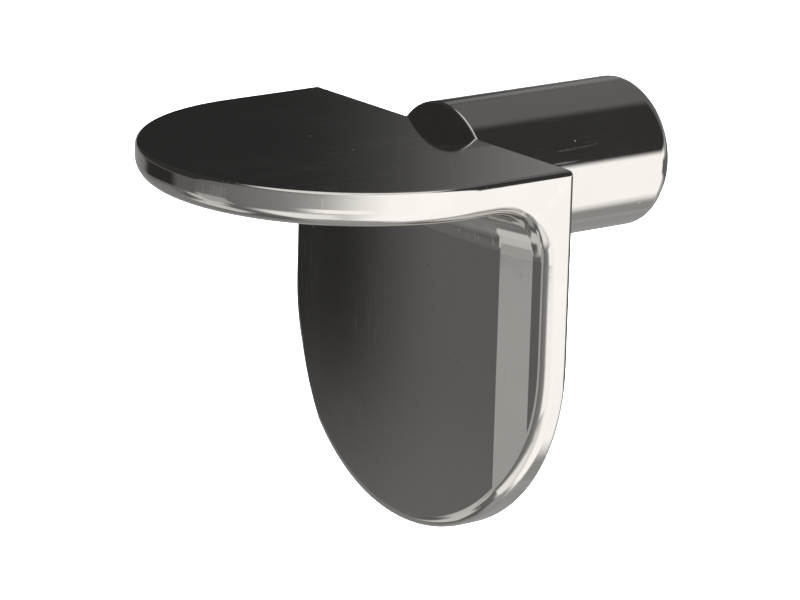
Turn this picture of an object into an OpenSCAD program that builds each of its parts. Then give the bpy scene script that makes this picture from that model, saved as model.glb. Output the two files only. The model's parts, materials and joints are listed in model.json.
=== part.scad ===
// Shelf support pin: a plug-in "spoon" bracket, cast in one piece.
//
// A round pin plugs into the side of the cabinet, along +Y. In front of it a flat plate
// bends into an L: the tongue reaches out under the shelf (-Y), and the leg hangs down
// against the cabinet's side (-Z). The origin is where the pin's axis meets the leg's
// back face, which is the plane that seats on the cabinet.
//
// Tongue and leg share one plate section: flat on the seating side, softly crowned on
// the side that shows, with a small rounding along the seating edge and a larger one
// along the crowned edge. Each ends in a half disc made by turning that same section,
// and the fillet between them is turned from it too, so every surface runs on smoothly.

/* [Pin] */
// Diameter of the pin, for the row of holes in the cabinet's side
pin_d = 5; // [3:0.1:6]
// Length of the pin, from the back face to its end
pin_length = 7.8; // [4:0.1:12]
// Length of the taper at the pin's end
nose_length = 0.4; // [0.2:0.1:1.2]
// How far the taper draws in all round
nose_inset = 0.35; // [0.1:0.05:0.8]

/* [Bracket] */
// Width of the tongue and the leg
width = 13.6; // [10:0.1:24]
// Height of the shelf's seat above the pin's axis
seat_height = 1.7; // [0.5:0.1:2.4]
// Length of the tongue's straight sides, before its round end
tongue_flank = 3.8; // [2.6:0.1:12]
// Length of the leg's straight sides, from the seat down to its round end
leg_flank = 6.4; // [3:0.1:16]

/* [Plate] */
// Thickness of the plate at its rim
rim = 1.15; // [1:0.05:1.8]
// How much thicker the plate is along its middle
crown = 0.25; // [0.1:0.05:0.6]
// Radius of the rounding along the crowned side's edge
face_edge_r = 0.9; // [0.2:0.05:1]
// Radius of the rounding along the seating side's edges
seat_edge_r = 0.25; // [0.1:0.05:0.3]
// Radius of the fillet in the inner corner
fillet_r = 1; // [0.5:0.1:3]

/* [Hidden] */
$fn = 96;
metal = "gainsboro";
slack = 1;                                   // how far a cutter reaches past the metal

pin_r = pin_d / 2;
half_w = width / 2;
middle = rim + crown;                        // thickness along the middle
face_r = min(face_edge_r, rim - seat_edge_r);  // the two roundings share the rim
corner_r = min(fillet_r, tongue_flank - middle, leg_flank - middle);
elbow = middle + corner_r;                   // from the outer corner to the fillet's ends

// The crown is an arc over the whole width, through the rim's edges and the middle.
crown_r = (half_w * half_w + crown * crown) / (2 * crown);
crown_depth = middle - crown_r;              // depth of that arc's centre
// The face rounding touches the side and, from inside, the crown's arc.
edge_x = half_w - face_r;
edge_depth = crown_depth + sqrt(pow(crown_r - face_r, 2) - edge_x * edge_x);
touch_x = edge_x * crown_r / (crown_r - face_r);
side_depth = (seat_edge_r + edge_depth) / 2; // halfway down the flat of the rim

// Strip as wide as the plate, its first edge at y = 0 with both corners rounded.
module seat_strip(depth) {
    translate([-half_w, seat_edge_r]) square([width, depth - seat_edge_r]);
    translate([seat_edge_r - half_w, 0]) square([width - 2 * seat_edge_r, depth]);
    for (side = [-1, 1]) translate([side * (half_w - seat_edge_r), seat_edge_r]) circle(seat_edge_r);
}

// Section of the plate: x runs across it, y is the depth below the seating side.
module plate_section() {
    seat_strip(edge_depth);
    intersection() {
        translate([-touch_x, 0]) square([2 * touch_x, middle]);
        translate([0, crown_depth]) circle(crown_r, $fn = 1080);
    }
    intersection() {
        translate([-half_w, side_depth]) square([width, middle - side_depth]);
        for (side = [-1, 1]) translate([side * edge_x, edge_depth]) circle(face_r);
    }
}

// Half of the section, from the middle out, for turning.
module half_section() {
    intersection() {
        plate_section();
        square([half_w + slack, middle + slack]);
    }
}

// Round end of a plate, below z = 0, turned about the Y axis; its seating side faces +Y.
module round_end() {
    rotate([90, 0, 0]) rotate_extrude(angle = -180) half_section();
}

// The corner block, up to both ends of the fillet, with its outer corner at the origin.
module corner() {
    difference() {
        intersection() {
            translate([0, 0, -elbow]) linear_extrude(elbow) mirror([0, 1]) seat_strip(elbow);
            rotate([90, 0, 0]) linear_extrude(elbow) mirror([0, 1]) seat_strip(elbow);
        }
        // the inner side, turned about the fillet's axis
        translate([0, -elbow, -elbow]) rotate([90, 0, 90]) rotate_extrude(angle = 90) difference() {
            translate([0, -half_w - slack]) square([elbow - side_depth, width + 2 * slack]);
            translate([elbow, 0]) rotate(90) plate_section();
        }
    }
}

// What hangs from the corner: straight plate, from inside the corner block, then the round end.
module lobe(flank) {
    translate([0, 0, -flank]) {
        linear_extrude(flank - middle) mirror([0, 1]) plate_section();
        round_end();
    }
}

// The L of tongue and leg, with its outer corner at the origin.
module bracket() {
    corner();
    lobe(leg_flank);
    // the tongue is the same lobe, mirrored in the mitre plane of the corner
    mirror([0, 1, -1]) lobe(tongue_flank);
}

// The pin, with its taper, along +Y from the back face.
module pin() {
    rotate([-90, 0, 0]) rotate_extrude() polygon([
        [0, 0], [pin_r, 0], [pin_r, pin_length - nose_length],
        [pin_r - nose_inset, pin_length], [0, pin_length]
    ]);
}

module shelf_support() {
    color(metal) {
        translate([0, 0, seat_height]) bracket();
        pin();
    }
}

shelf_support();
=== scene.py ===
"""Looks of the shelf support pin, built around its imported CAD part.

The one casting is rebuilt as a dense mesh with exact normals, so that its plated
surfaces mirror the studio as smoothly as the real ones do. The part's sizes and the
camera's are in millimetres, and those of the material and the stage in metres.
"""

import json
import math

import bpy
import numpy as np
from mathutils import Matrix, Vector
from mathutils.bvhtree import BVHTree


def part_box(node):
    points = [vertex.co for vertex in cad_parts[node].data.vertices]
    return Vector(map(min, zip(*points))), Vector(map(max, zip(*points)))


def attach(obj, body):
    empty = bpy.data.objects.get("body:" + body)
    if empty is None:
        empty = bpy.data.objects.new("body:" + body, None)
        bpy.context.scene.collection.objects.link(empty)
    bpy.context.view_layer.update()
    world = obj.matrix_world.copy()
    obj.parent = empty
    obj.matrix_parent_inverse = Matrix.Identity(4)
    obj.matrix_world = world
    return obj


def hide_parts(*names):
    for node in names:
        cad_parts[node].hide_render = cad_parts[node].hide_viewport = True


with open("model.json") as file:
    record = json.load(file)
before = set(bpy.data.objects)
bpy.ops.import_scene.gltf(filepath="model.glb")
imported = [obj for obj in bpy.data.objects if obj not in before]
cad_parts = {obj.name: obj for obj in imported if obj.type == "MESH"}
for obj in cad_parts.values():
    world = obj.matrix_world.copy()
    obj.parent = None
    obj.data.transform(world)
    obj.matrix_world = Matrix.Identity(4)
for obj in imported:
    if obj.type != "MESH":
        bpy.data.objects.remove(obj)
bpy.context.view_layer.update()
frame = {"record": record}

MM = 0.001
NODE = "shelf_support"
QUARTER = math.pi / 2

# ---------------------------------------------------------------- sizes, in mm

low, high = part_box(NODE)
mounts = {m["name"]: m for m in frame["record"]["mounts"]}

HALF_W = (high.x - low.x) / 2 / MM
PIN_R = high.z / MM                            # the pin's top is the highest place
PIN_END = high.y / MM
SEAT = mounts["shelf_seat"]["pos_m"][2] / MM
TONGUE_FLANK = -low.y / MM - HALF_W            # straight sides, before the round end
LEG_FLANK = SEAT - low.z / MM - HALF_W

RIM = 1.15                                     # thickness of the tongue at its rim
CROWN = 0.25                                   # how much thicker it is along its middle
FACE_R = 0.65                                  # rounding of the tongue's lower edge
SEAT_R = 0.2                                   # rounding of the seating side's edges
FILLET_R = 1.6                                 # fillet in the inner corner

LEG_MIDDLE = 1.34                              # thickness of the leg along its middle
FACE_X = 4.68                                  # its raised face reaches this far from the middle
STEP_X = 6.0                                   # and the slope beside it this far
LEDGE = 0.92                                   # thickness of the leg at its rim
LEDGE_TILT = math.radians(2.5)                 # the ledge rises this much towards the slope
LEDGE_R = 0.45                                 # rounding of the ledge's edge
STEP_R = 0.3                                   # hollow at the foot of the slope
SLOPE_R = 0.8                                  # rounding at its top

NOSE_LENGTH = 0.4                              # taper at the pin's end
NOSE_INSET = 0.35
NOSE_R = 0.5                                   # rounding where the taper starts
TIP_R = 0.25                                   # and where it ends
PIN_ROOT = 0.1                                 # the pin's front stands this far inside the leg
ROOT_R = 0.06                                  # rounding of its front edge

MIDDLE = RIM + CROWN
ELBOW = MIDDLE + FILLET_R                      # from the outer corner to the fillet's ends
CROWN_R = (HALF_W ** 2 + CROWN ** 2) / (2 * CROWN)
CROWN_C = MIDDLE - CROWN_R                     # depth of the crown's centre
EDGE_X = HALF_W - FACE_R                       # centre of the rounding of the tongue's lower edge
EDGE_V = CROWN_C + math.sqrt((CROWN_R - FACE_R) ** 2 - EDGE_X ** 2)

CORNER = np.array([0, 0, SEAT])                # outer corner of the L, where both lobes start
AXIS = np.array([0, -ELBOW, SEAT - ELBOW])     # axis of the fillet

# ---------------------------------------------------------------- how finely the mesh is cut

ARC = 9                                        # rows in a rounding of the plate
SEAT_ROWS = 8                                  # rows on the flat of the seating side
LEDGE_ROWS = 14                                # between the ledge's two roundings
SLOPE_ROWS = 6                                 # between the slope's
CROWN_ROWS = 22                                # on the raised face
RIM_ROWS = 27                                  # in the rounding of the tongue's lower edge
TONGUE_END_STEPS = 145                         # round the tongue's end
LEG_END_STEPS = 13                             # down the leg's end
CORNER_STEPS = 25                              # from a lobe to the small arc of the outer corner
FLANK_STEP = 0.5                               # length of a face along the straight sides, mm
PIN_ARC = 7                                    # rows in a rounding of the pin
PIN_STEP = 0.35                                # length of a face along the pin, mm
PIN_STEPS = 193                                # round the pin
WELD = 2e-5                                    # points this close are one, mm


# ---------------------------------------------------------------- mesh building

class Shell:
    """Grids of points with their normals, welded into one closed mesh."""

    def __init__(self):
        self.points, self.normals, self.quads = [], [], []
        self.count = 0

    def grid(self, points, normals):
        """Both are arrays of rows x columns x 3. The faces turn to the normals' side."""
        rows, columns = points.shape[:2]
        facing = np.cross(points[1:, :-1] - points[:-1, :-1], points[:-1, 1:] - points[:-1, :-1])
        flip = (facing * normals[:-1, :-1]).sum() < 0
        index = self.count + np.arange(rows * columns).reshape(rows, columns)
        quads = np.stack([index[:-1, :-1], index[1:, :-1], index[1:, 1:], index[:-1, 1:]], -1)
        quads = quads.reshape(-1, 4)
        self.points.append(points.reshape(-1, 3))
        self.normals.append(normals.reshape(-1, 3))
        self.quads.append(quads[:, ::-1] if flip else quads)
        self.count += rows * columns

    def mirrored(self, points, normals):
        """The grid and its mirror image in x."""
        over = np.array([-1.0, 1.0, 1.0])
        self.grid(points, normals)
        self.grid(points * over, normals * over)

    def build(self, name):
        """The welded object. A face whose corners became one loses them, or goes."""
        points, normals = np.vstack(self.points), np.vstack(self.normals)
        normals /= np.linalg.norm(normals, axis=1)[:, None]
        keys = np.round(points / WELD).astype(np.int64)
        _, first, place = np.unique(keys, axis=0, return_index=True, return_inverse=True)
        place = place.reshape(-1)
        faces, loops = [], []
        for quad in np.vstack(self.quads):
            corners, kept = [], []
            for i in quad:
                v = int(place[i])
                if v not in corners:
                    corners.append(v)
                    kept.append(i)
            if len(corners) > 2:
                faces.append(corners)
                loops.extend(kept)
        mesh = bpy.data.meshes.new(name)
        mesh.from_pydata((points[first] * MM).tolist(), [], faces)
        mesh.shade_smooth()
        mesh.normals_split_custom_set(normals[loops].tolist())
        mesh.update()
        return link(name, mesh)


def link(name, data):
    """A new object in the scene."""
    thing = bpy.data.objects.new(name, data)
    bpy.context.scene.collection.objects.link(thing)
    return thing


def vec(*parts):
    """Stack broadcast arrays into points or normals."""
    return np.stack(np.broadcast_arrays(*parts), -1).astype(float)


def on_tongue(across, along, depth):
    """Vectors of the frame, from measures across the tongue, along it and into its plate."""
    return vec(across, -along, -depth)


def on_leg(across, along, depth):
    """The same for the leg."""
    return vec(across, -depth, -along)


# ---------------------------------------------------------------- the plate's section
# Its rows hold x, the depth v below the seating side, and the two parts of the outward normal.

def rounded(corners, radii, steps):
    """Polyline with each inner corner rounded: rows of both coordinates and both parts of the
    normal, which is on the right of the way along it."""
    corners = [np.array(c, float) for c in corners]

    def normal(a, b):
        d = (b - a) / np.linalg.norm(b - a)
        return np.array([d[1], -d[0]])

    rows = [(*corners[0], *normal(corners[0], corners[1]))]
    for i in range(1, len(corners) - 1):
        p, q, r = corners[i - 1:i + 2]
        a, b = normal(p, q), normal(q, r)
        bend = math.acos(np.clip(a @ b, -1, 1))
        radius = math.copysign(radii[i - 1], a[0] * b[1] - a[1] * b[0])    # negative in a hollow
        start = q - abs(radius) * math.tan(bend / 2) * np.array([-a[1], a[0]])
        for t in np.linspace(0, 1, steps):
            n = (math.sin((1 - t) * bend) * a + math.sin(t * bend) * b) / math.sin(bend)
            rows.append((*(start + radius * (n - a)), *n))
    rows.append((*corners[-1], *normal(corners[-2], corners[-1])))
    return np.array(rows)


def between(a, b, count):
    """Rows on the straight line between two rows, without its ends."""
    return [(1 - t) * a + t * b for t in np.linspace(0, 1, count + 2)[1:-1]]


def seat_rows():
    """Seating side, from the middle out, and its rounding."""
    rows = [(x, 0, 0, -1) for x in np.linspace(0, HALF_W - SEAT_R, SEAT_ROWS + 1)[:-1]]
    for a in np.linspace(0, QUARTER, ARC):
        s, c = math.sin(a), math.cos(a)
        rows.append((HALF_W - SEAT_R + SEAT_R * s, SEAT_R - SEAT_R * c, s, -c))
    return np.array(rows)


def leg_rows():
    """Front of the leg, from the rim to the middle: a ledge, a slope and the raised, crowned face."""
    centre = LEG_MIDDLE - CROWN_R
    face_v = centre + math.sqrt(CROWN_R ** 2 - FACE_X ** 2)
    foot_v = LEDGE + (HALF_W - STEP_X) * math.tan(LEDGE_TILT)
    onward = (FACE_X - 1, face_v + FACE_X / CROWN_R)                       # the way the crown starts
    corners = [(HALF_W, SEAT_R), (HALF_W, LEDGE), (STEP_X, foot_v), (FACE_X, face_v), onward]
    rows = rounded(corners, [LEDGE_R, STEP_R, SLOPE_R], ARC)[1:-1]
    rim, hollow, top = rows[:ARC], rows[ARC:2 * ARC], rows[2 * ARC:]
    crown = []
    for x in np.linspace(top[-1, 0], 0, CROWN_ROWS + 1)[1:]:
        a = math.acos(x / CROWN_R)
        crown.append((x, centre + CROWN_R * math.sin(a), math.cos(a), math.sin(a)))
    ledge = between(rim[-1], hollow[0], LEDGE_ROWS)
    slope = between(hollow[-1], top[0], SLOPE_ROWS)
    return np.array([*rim, *ledge, *hollow, *slope, *top, *crown])


def tongue_rows():
    """Underside of the tongue, from the rim to the middle, with as many rows as the leg's front."""
    end = math.atan2(EDGE_V - CROWN_C, EDGE_X)
    rows = []
    for a in np.linspace(0, end, RIM_ROWS):
        s, c = math.sin(a), math.cos(a)
        rows.append((EDGE_X + FACE_R * c, EDGE_V + FACE_R * s, c, s))
    for x in LEG[RIM_ROWS:, 0] / LEG[RIM_ROWS - 1, 0] * CROWN_R * math.cos(end):
        a = math.acos(x / CROWN_R)
        s, c = math.sin(a), math.cos(a)
        rows.append((CROWN_R * c, CROWN_C + CROWN_R * s, c, s))
    return np.array(rows)


SEATING = seat_rows()
LEG = leg_rows()
TONGUE = tongue_rows()


# ---------------------------------------------------------------- the bracket

def columns(rows):
    """The four columns of some rows, each upright, for a grid with the rows going down."""
    return (rows[:, i][:, None] for i in range(4))


def sweep(shell, rows, flank, way):
    """Straight sides of a lobe, from the elbow to its round end."""
    x, v, nx, nv = columns(np.vstack([SEATING, rows]))
    steps = max(2, round((flank - ELBOW) / FLANK_STEP) + 1)
    s = np.linspace(ELBOW, flank, steps)[None, :]
    shell.mirrored(CORNER + way(x, s, v), way(nx, 0 * s, nv))


def tongue(shell):
    """Straight sides, and a round end that turns the same section."""
    sweep(shell, TONGUE, TONGUE_FLANK, on_tongue)
    x, v, nx, nv = columns(np.vstack([SEATING, TONGUE]))
    t = np.linspace(-QUARTER, QUARTER, TONGUE_END_STEPS)[None, :]
    shell.grid(CORNER + on_tongue(x * np.sin(t), TONGUE_FLANK + x * np.cos(t), v),
               on_tongue(nx * np.sin(t), nx * np.cos(t), nv))


def leg(shell):
    """Straight sides, and a round end that cuts the face off: the face runs straight down into it."""
    sweep(shell, LEG, LEG_FLANK, on_leg)
    x, v, nx, nv = (column.T for column in columns(LEG[ARC - 1:]))
    inner = HALF_W - LEDGE_R                   # the edge's rounding rolls along this radius
    sin = (x - LEDGE_R * nx) / inner           # where on it each upright line of the face ends
    cos = np.sqrt(np.maximum(0, 1 - sin * sin))
    down = np.linspace(0, 1, LEG_END_STEPS)[:, None]
    shell.mirrored(CORNER + on_leg(x, LEG_FLANK + down * inner * cos, v), on_leg(nx, 0 * down, nv))

    # below those ends: the seating side, turned, and the rounding from the rim's normal to the face's
    sx, sv, snx, snv = columns(SEATING)
    bend = np.arccos(np.clip(nx * sin, -1, 1))
    turn = np.linspace(0, 1, ARC)[:, None]
    a, b = np.sin((1 - turn) * bend) / np.sin(bend), np.sin(turn * bend) / np.sin(bend)
    rx, rs, rv = a * sin + b * nx, a * cos, b * nv
    seat = on_leg(sx * sin, LEG_FLANK + sx * cos, sv)
    edge = on_leg(inner * sin + LEDGE_R * rx, LEG_FLANK + inner * cos + LEDGE_R * rs,
                  v - LEDGE_R * nv + LEDGE_R * rv)
    normals = [on_leg(snx * sin, snx * cos, snv), on_leg(rx, rs, rv)]
    shell.mirrored(CORNER + np.vstack([seat, edge]), np.vstack(normals))


def elbow_outside():
    """Seating side of the corner, from the tongue to the leg, with a small arc between: its points,
    their normals, and the angle of each column about the fillet's axis."""
    x, v, nx, nv = columns(SEATING)
    reach = math.atan2(ELBOW - SEAT_R, ELBOW)
    flat = np.tan(np.linspace(0, reach, CORNER_STEPS)) * ELBOW - ELBOW
    flat = flat[None, :-1] + 0 * v
    turn = np.linspace(0, QUARTER, ARC)[None, :]
    y = np.hstack([flat, (SEAT_R - v) * np.sin(turn) - SEAT_R, 0 * flat - v])
    z = y[:, ::-1]                             # the same way back, in the mitre plane
    to_y = np.hstack([0 * flat[:1], np.sin(turn), 0 * flat[:1] + 1])
    to_z = to_y[:, ::-1]
    angle = np.arctan2(y[:1] + ELBOW, z[:1] + ELBOW)
    return CORNER + vec(x, y, z), vec(nx, -nv * to_y, -nv * to_z), angle


def elbow_inside(angle):
    """Inner side of the corner, at those angles: the tongue's section turns into the leg's."""
    share = angle / QUARTER
    blend = share * share * (3 - 2 * share)
    x, v, nx, nv = (a + (b - a) * blend for a, b in zip(columns(TONGUE), columns(LEG)))
    radius = ELBOW - v
    points = AXIS + vec(x, radius * np.sin(angle), radius * np.cos(angle))
    turned = vec(nx, -nv * np.sin(angle), -nv * np.cos(angle))
    # inside, the normals come from the blended surface, and along its borders from the section
    normals = np.cross(np.gradient(points, axis=0), np.gradient(points, axis=1))
    normals *= np.sign((normals * turned).sum(-1, keepdims=True))
    normals /= np.linalg.norm(normals, axis=-1, keepdims=True)
    for border in (np.s_[:, 0], np.s_[:, -1], np.s_[0], np.s_[-1]):
        normals[border] = turned[border]
    return points, normals


def elbow(shell):
    """The corner, between the two lobes."""
    outside, normals, angle = elbow_outside()
    shell.mirrored(outside, normals)
    inside, normals = elbow_inside(angle)
    shell.mirrored(inside, normals)
    side = np.stack([outside[-1], inside[0]])  # the flat between the two sides' roundings
    shell.mirrored(side, np.broadcast_to([1.0, 0.0, 0.0], side.shape))


def bracket():
    shell = Shell()
    tongue(shell)
    leg(shell)
    elbow(shell)
    return shell.build("bracket")


# ---------------------------------------------------------------- the pin

def pin():
    """The pin, turned about its axis, with its flat runs cut into short ones."""
    corners = [(0, -PIN_ROOT), (PIN_R, -PIN_ROOT), (PIN_R, PIN_END - NOSE_LENGTH),
               (PIN_R - NOSE_INSET, PIN_END), (0, PIN_END)]
    rows = rounded(corners, [ROOT_R, NOSE_R, TIP_R], PIN_ARC)
    dense = [rows[0]]
    for a, b in zip(rows[:-1], rows[1:]):
        cuts = max(1, int(np.linalg.norm(b[:2] - a[:2]) / PIN_STEP))
        for t in np.linspace(0, 1, cuts + 1)[1:]:
            dense.append((1 - t) * a + t * b)
    r, y, nr, ny = columns(np.array(dense))
    t = np.linspace(0, 2 * math.pi, PIN_STEPS)[None, :]
    shell = Shell()
    shell.grid(vec(r * np.cos(t), y, r * np.sin(t)), vec(nr * np.cos(t), ny, nr * np.sin(t)))
    return shell.build("pin")


# ---------------------------------------------------------------- one casting

class Skin:
    """Looks up the exact normal of a shell at any place on it."""

    def __init__(self, thing):
        mesh = thing.data
        mesh.calc_loop_triangles()
        self.corners = [[mesh.vertices[i].co.copy() for i in t.vertices] for t in mesh.loop_triangles]
        normals = mesh.corner_normals
        self.normals = [[normals[i].vector.copy() for i in t.loops] for t in mesh.loop_triangles]
        triangles = [(3 * i, 3 * i + 1, 3 * i + 2) for i in range(len(self.corners))]
        self.tree = BVHTree.FromPolygons([c for t in self.corners for c in t], triangles)

    def normal(self, point):
        place, _, index, _ = self.tree.find_nearest(point)
        a, b, c = self.corners[index]
        span = (b - a).cross(c - a)
        area = span.length_squared
        weight_b = (place - a).cross(c - a).dot(span) / area
        weight_c = (b - a).cross(place - a).dot(span) / area
        na, nb, nc = self.normals[index]
        return (na * (1 - weight_b - weight_c) + nb * weight_b + nc * weight_c).normalized()


def unite(name, first, second):
    """One closed mesh of both shells. Each face keeps the normals of the shell it came from."""
    inward = 0.02                              # a look-up leaves the corner this share of the way in
    skins = [Skin(first), Skin(second)]
    marks = [bpy.data.materials.new("mark_%d" % i) for i in range(2)]
    for thing in (first, second):
        for mark in marks:
            thing.data.materials.append(mark)
    second.data.polygons.foreach_set("material_index", [1] * len(second.data.polygons))
    union = first.modifiers.new("union", "BOOLEAN")
    union.operation, union.solver, union.object = "UNION", "MANIFOLD", second
    graph = bpy.context.evaluated_depsgraph_get()
    mesh = bpy.data.meshes.new_from_object(first.evaluated_get(graph))
    mesh.name = name
    normals = [None] * len(mesh.loops)
    for face in mesh.polygons:
        skin, centre = skins[face.material_index], face.center
        for i in face.loop_indices:
            corner = mesh.vertices[mesh.loops[i].vertex_index].co
            normals[i] = skin.normal(corner.lerp(centre, inward))
    mesh.shade_smooth()
    mesh.normals_split_custom_set(normals)
    mesh.materials.clear()
    mesh.polygons.foreach_set("material_index", [0] * len(mesh.polygons))
    mesh.update()
    for thing in (first, second):
        old = thing.data
        bpy.data.objects.remove(thing)
        bpy.data.meshes.remove(old)
    for mark in marks:
        bpy.data.materials.remove(mark)
    return link(name, mesh)


# ---------------------------------------------------------------- material

class Tree:
    """Short ways to add nodes to a material or a world."""

    def __init__(self, owner):
        owner.use_nodes = True
        self.nodes, self.links = owner.node_tree.nodes, owner.node_tree.links

    def add(self, kind, inputs=None, **settings):
        node = self.nodes.new("ShaderNode" + kind)
        for name, value in settings.items():
            setattr(node, name, value)
        for name, value in (inputs or {}).items():
            if isinstance(value, bpy.types.NodeSocket):
                self.links.new(value, node.inputs[name])
            else:
                node.inputs[name].default_value = value
        return node

    def math(self, operation, *values):
        return self.add("Math", dict(enumerate(values)), operation=operation).outputs[0]

    def plus(self, base, mask, amount):
        """base, with this amount added where the mask is 1."""
        return self.math("ADD", base, self.math("MULTIPLY", mask, amount))

    def ramp(self, value, low, high, to_low=0.0, to_high=1.0):
        """Smooth step from to_low at low, to to_high at high."""
        return self.add("MapRange", {"Value": value, "From Min": low, "From Max": high,
                                     "To Min": to_low, "To Max": to_high},
                        interpolation_type="SMOOTHSTEP").outputs["Result"]

    def noise(self, vector, size, detail, roughness=0.5, distortion=0.0):
        """Noise with features of about this size in metres, from 0 to 1."""
        return self.add("TexNoise", {"Vector": vector, "Scale": 1 / size, "Detail": detail,
                                     "Roughness": roughness, "Distortion": distortion}).outputs["Fac"]

    def mix(self, factor, a, b):
        return self.add("Mix", {"Factor": factor, "A": a, "B": b}, data_type="RGBA").outputs["Result"]


# Tones: the plate drifts between the first two.
DULL, CLEAR = (0.635, 0.612, 0.578, 1), (0.69, 0.67, 0.642, 1)
RUBBED, RUBBED_SHARE = (0.735, 0.71, 0.672, 1), 0.6
PITTED, PITTED_SHARE = (0.33, 0.30, 0.27, 1), 0.5

# Sizes of the features, in metres.
SWELL_SIZE, PEEL_SIZE = 4.5e-3, 0.28e-3        # of the casting's waves and of the plating's grain
HAZE_SIZE, CLOUD_SIZE = 2.6e-3, 5.5e-3         # of duller patches, and of the drift of tone
PIT_CELL = 0.55e-3                             # one in a few of these holds a pit
RUB_SIZE = 0.9e-3                              # of the rubbed lengths of an edge
PATCH_SIZE = 3.2e-3                            # of the patches that have hairlines

# Sets of hairlines: the turn of each, its lines' width, and their length in widths.
HAIRLINES = [
    ((0.3, 0.5, 0.4), 0.05e-3, 60),
    ((1.2, 0.2, 1.9), 0.04e-3, 45),
    ((0.4, 1.3, 2.7), 0.04e-3, 45),
]


def hairlines(tree, vector, turn, width, length):
    """Sparse straight lines one way: 1 on a line, 0 off it."""
    stretch = (1, 1 / length, 1 / length)
    along = tree.add("Mapping", {"Vector": vector, "Rotation": turn, "Scale": stretch})
    lines = tree.ramp(tree.noise(along.outputs[0], width, 0.0), 0.74, 0.82)
    patches = tree.ramp(tree.noise(vector, PATCH_SIZE, 1.0), 0.45, 0.62)
    return tree.math("MULTIPLY", lines, patches)


def nickel_plate():
    """Bright nickel over a tumbled die casting."""
    mat = bpy.data.materials.new("nickel_plate")
    tree = Tree(mat)
    shader = tree.nodes["Principled BSDF"]
    where = tree.add("TexCoord").outputs["Object"]

    # masks, from 0 to 1
    swell = tree.noise(where, SWELL_SIZE, 1.0)
    peel = tree.noise(where, PEEL_SIZE, 3.0, 0.6)
    haze = tree.ramp(tree.noise(where, HAZE_SIZE, 4.0, 0.62, 0.5), 0.48, 0.72)
    cloud = tree.noise(where, CLOUD_SIZE, 3.0, 0.55)
    cell = tree.add("TexVoronoi", {"Vector": where, "Scale": 1 / PIT_CELL})
    chance = tree.add("SeparateColor", {"Color": cell.outputs["Color"]}).outputs[0]
    rare = tree.ramp(chance, 0.86, 0.9)
    pit = tree.math("MULTIPLY", rare, tree.ramp(cell.outputs["Distance"], 0.12, 0.03))
    lines = hairlines(tree, where, *HAIRLINES[0])
    for more in HAIRLINES[1:]:
        lines = tree.math("MAXIMUM", lines, hairlines(tree, where, *more))
    # edges that rubbed in the tumbling barrel, unevenly
    worn = tree.ramp(tree.add("NewGeometry").outputs["Pointiness"], 0.505, 0.56)
    worn = tree.math("MULTIPLY", worn, tree.ramp(tree.noise(where, RUB_SIZE, 3.0), 0.35, 0.65))

    tone = tree.mix(cloud, DULL, CLEAR)
    tone = tree.mix(tree.math("MULTIPLY", worn, RUBBED_SHARE), tone, RUBBED)
    tone = tree.mix(tree.math("MULTIPLY", pit, PITTED_SHARE), tone, PITTED)

    rough = tree.ramp(peel, 0.2, 0.8, 0.04, 0.065)
    for mask, amount in ((haze, 0.06), (lines, 0.10), (pit, 0.25), (worn, 0.07)):
        rough = tree.plus(rough, mask, amount)

    # in metres, with the hairlines and the pits cut in
    height = tree.math("MULTIPLY", swell, 1.6e-6)
    for mask, amount in ((peel, 0.35e-6), (lines, -0.5e-6), (pit, -4e-6)):
        height = tree.plus(height, mask, amount)
    bump = tree.add("Bump", {"Height": height, "Distance": 1.0, "Strength": 1.0})

    shader.inputs["Metallic"].default_value = 1.0
    tree.links.new(tone, shader.inputs["Base Color"])
    tree.links.new(rough, shader.inputs["Roughness"])
    tree.links.new(bump.outputs["Normal"], shader.inputs["Normal"])
    return mat


# ---------------------------------------------------------------- the object

support = unite("support_pin", bracket(), pin())
support.data.materials.append(nickel_plate())
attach(support, "root")
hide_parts(NODE)

# ---------------------------------------------------------------- stage, in metres

FLOOR_Z = -0.06
FLOOR_RINGS = (0.15, 0.35)                     # radii at which the flat floor is cut
WALL_RADIUS, WALL_BEND, WALL_HEIGHT = 0.8, 0.25, 0.75
WALL_SIDES, BEND_STEPS = 96, 12
PAPER = (0.86, 0.86, 0.86, 1)
PAPER_ROUGHNESS = 0.9
PAPER_GLOW = 0.5                               # evens out the wall, which the softbox hardly reaches

LIGHT_HEIGHT, LIGHT_SIZE, LIGHT_POWER = 0.6, 1.1, 13                       # the last is in watts


def cyclorama():
    """Pale floor that curves up into a wall all round."""
    flat = WALL_RADIUS - WALL_BEND
    line = [(r, 0.0) for r in (*FLOOR_RINGS, flat)]
    for t in np.linspace(0, QUARTER, BEND_STEPS + 1)[1:]:
        line.append((flat + WALL_BEND * math.sin(t), WALL_BEND - WALL_BEND * math.cos(t)))
    line.append((WALL_RADIUS, WALL_HEIGHT))
    points, faces = [(0, 0, FLOOR_Z)], []
    for r, z in line:
        for k in range(WALL_SIDES):
            t = 2 * math.pi * k / WALL_SIDES
            points.append((r * math.cos(t), r * math.sin(t), FLOOR_Z + z))
    for k in range(WALL_SIDES):
        faces.append((0, 1 + k, 1 + (k + 1) % WALL_SIDES))
    for i in range(len(line) - 1):
        for k in range(WALL_SIDES):
            a, b = 1 + i * WALL_SIDES + k, 1 + i * WALL_SIDES + (k + 1) % WALL_SIDES
            faces.append((a, a + WALL_SIDES, b + WALL_SIDES, b))
    mesh = bpy.data.meshes.new("cyclorama")
    mesh.from_pydata(points, [], faces)
    mesh.shade_smooth()
    mesh.materials.append(paper())
    thing = link("cyclorama", mesh)
    thing.visible_glossy = False               # the metal mirrors the world instead


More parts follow.
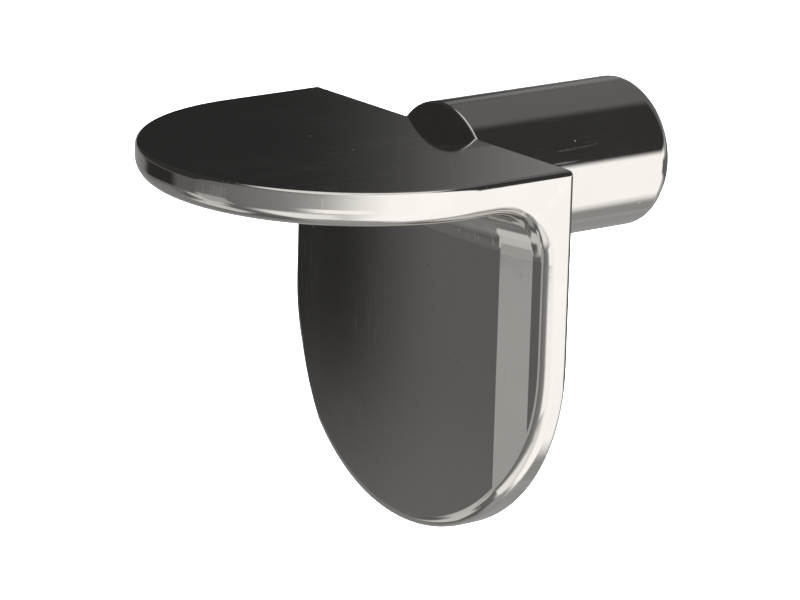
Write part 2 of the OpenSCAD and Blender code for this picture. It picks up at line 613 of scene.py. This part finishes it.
def paper():
    """Matt pale paper that glows a little."""
    mat = bpy.data.materials.new("paper")
    mat.use_nodes = True
    shader = mat.node_tree.nodes["Principled BSDF"]
    shader.inputs["Base Color"].default_value = PAPER
    shader.inputs["Roughness"].default_value = PAPER_ROUGHNESS
    shader.inputs["Emission Color"].default_value = (1, 1, 1, 1)
    shader.inputs["Emission Strength"].default_value = PAPER_GLOW
    return mat


def softbox():
    """Soft light straight above, for the paper alone: the metal mirrors the world."""
    data = bpy.data.lights.new("overhead", "AREA")
    data.shape = "RECTANGLE"
    data.size, data.size_y = LIGHT_SIZE, LIGHT_SIZE
    data.energy = LIGHT_POWER
    lamp = link("overhead", data)
    lamp.location = (0, 0, LIGHT_HEIGHT)
    lamp.visible_camera = False
    lamp.visible_glossy = False


# ---------------------------------------------------------------- what the metal mirrors
# The world is painted by direction, in degrees: azimuth from +X towards +Y, and elevation.

BRIGHT = 1.5                                   # the colour ramp, which ends at 1, holds shares of this

# Azimuth and level round the room: bright round +X, where the window is, and dimmest past -X.
ROOM = [
    (0, 1.42), (14, 1.44), (28, 1.4), (60, 1.4), (73, 0.6), (110, 0.37), (150, 0.37), (185, 0.19),
    (200, 0.15), (232, 0.145), (250, 0.19), (268, 0.23), (287, 0.29), (308, 0.46), (330, 1.08),
    (346, 1.4), (360, 1.4),
]

# Cards with soft edges, each laid over those before it: level, azimuth from and to, elevation from
# and to, and half the width of the soft edge in each of the two.
CARDS = [
    (1.15, 262, 318, -76, -42, 9, 7),          # pale, low on the near side
    (0.042, 36.5, 236, 2, 90, 1.5, 4),         # the dim side of the room, above the table
    (0.155, 84, 142.2, 8, 90, 9, 3),           # a paler stretch of it, which the pin's top mirrors
    (0.24, 125, 141.9, 6, 22, 2, 3),           # for the seat near the pin
    (0.028, 142.2, 168, 2, 40, 2, 4),          # for the rest of the seat
    (0.16, 50, 148, -23, -7, 5, 3),            # low band on the far side
    (0.178, 188, 228, -30, -17.2, 5, 1),       # for the leg's lower half
    (0.26, 174, 208, -52, -24, 6, 3),          # for the fillet
    (0.7, 222, 244, -44, -24, 2.5, 3),         # for the slope's turn into the fillet
    (0.75, 201, 234, -62, -42, 4, 3),          # for the right end of the fillet
    (0.47, 233.5, 254, -36, -14.75, 1, 0.3),   # for the slope of the leg
    (1.35, 302, 340, -36, -15.1, 10, 0.25),    # for the rounding of its edge
    (1.0, -1, 361, 63, 90, 1, 5),              # ceiling
    (0.42, -1, 361, -90, -77, 1, 5),           # straight below
    (0.36, 74, 98, -57, -47, 5, 3),            # for the pin's lower side
    (0.032, 184, 216.5, -17, -4, 4.5, 1.8),    # dark flag for the left of the leg
]


def tint(level):
    """A grey of this level, a little warmer where it is brighter."""
    warm = 0.02 * min(1.0, level)
    return level, level * (1 - warm * 0.6), level * (1 - warm), 1


def studio_world():
    """The room, with the cards laid over it."""
    world = bpy.data.worlds.new("studio")
    tree = Tree(world)
    x, y, z = tree.add("SeparateXYZ", {"Vector": tree.add("TexCoord").outputs["Generated"]}).outputs
    degrees = 180 / math.pi
    azimuth = tree.math("MULTIPLY", tree.math("ARCTAN2", y, x), degrees)
    azimuth = tree.math("WRAP", azimuth, 360, 0)
    elevation = tree.math("MULTIPLY", tree.math("ARCSINE", z), degrees)

    def card(start, end, low, high, soft_side, soft_top):
        """1 on the card and 0 off it. An elevation of 90 or -90 leaves that end open."""
        half, middle = (end - start) / 2, (start + end) / 2
        away = tree.math("WRAP", tree.math("SUBTRACT", azimuth, middle), 180, -180)
        mask = tree.ramp(tree.math("ABSOLUTE", away), half + soft_side, half - soft_side)
        if low > -90:
            mask = tree.math("MULTIPLY", mask, tree.ramp(elevation, low - soft_top, low + soft_top))
        if high < 90:
            mask = tree.math("MULTIPLY", mask, tree.ramp(elevation, high + soft_top, high - soft_top))
        return mask

    room = tree.add("ValToRGB", {"Fac": tree.math("DIVIDE", azimuth, 360)})
    stops = room.color_ramp.elements
    while len(stops) < len(ROOM):
        stops.new(0.5)
    for stop, (angle, level) in zip(stops, ROOM):
        stop.position = angle / 360
        stop.color = [c / BRIGHT for c in tint(level)[:3]] + [1]
    light = tree.add("VectorMath", {0: room.outputs[0], "Scale": BRIGHT}, operation="SCALE").outputs[0]
    for level, *place in CARDS:
        light = tree.mix(card(*place), light, tint(level))
    tree.links.new(light, tree.nodes["Background"].inputs["Color"])
    bpy.context.scene.world = world


# ---------------------------------------------------------------- camera

AZIMUTH = math.radians(52.39)                  # from -Y towards +X
ELEVATION = math.radians(15.56)
ROLL = math.radians(1.645)
DISTANCE = 157.0                               # from the target, in mm
TARGET_RIGHT, TARGET_UP = -1.229, -4.011       # from the origin, across the view, in mm
SCALE = 30.883                                 # pixels per mm at the target
PICTURE = 800                                  # width in pixels
SENSOR = 36                                    # width in mm


def camera():
    level = math.cos(ELEVATION)
    back = Vector((math.sin(AZIMUTH) * level, -math.cos(AZIMUTH) * level, math.sin(ELEVATION)))
    right = Vector((math.cos(AZIMUTH), math.sin(AZIMUTH), 0))
    up = right.cross(-back)
    target = (right * TARGET_RIGHT + up * TARGET_UP) * MM
    turned_right = right * math.cos(ROLL) + up * math.sin(ROLL)
    turned_up = up * math.cos(ROLL) - right * math.sin(ROLL)
    basis = Matrix((turned_right, turned_up, back)).transposed()
    data = bpy.data.cameras.new("camera")
    data.sensor_width = SENSOR
    data.lens = SCALE * DISTANCE * SENSOR / PICTURE
    data.clip_start, data.clip_end = 0.01, 20
    thing = link("camera", data)
    thing.matrix_world = Matrix.Translation(target + back * DISTANCE * MM) @ basis.to_4x4()
    bpy.context.scene.camera = thing


cyclorama()
softbox()
studio_world()
camera()
bpy.context.scene.view_settings.view_transform = "Standard"
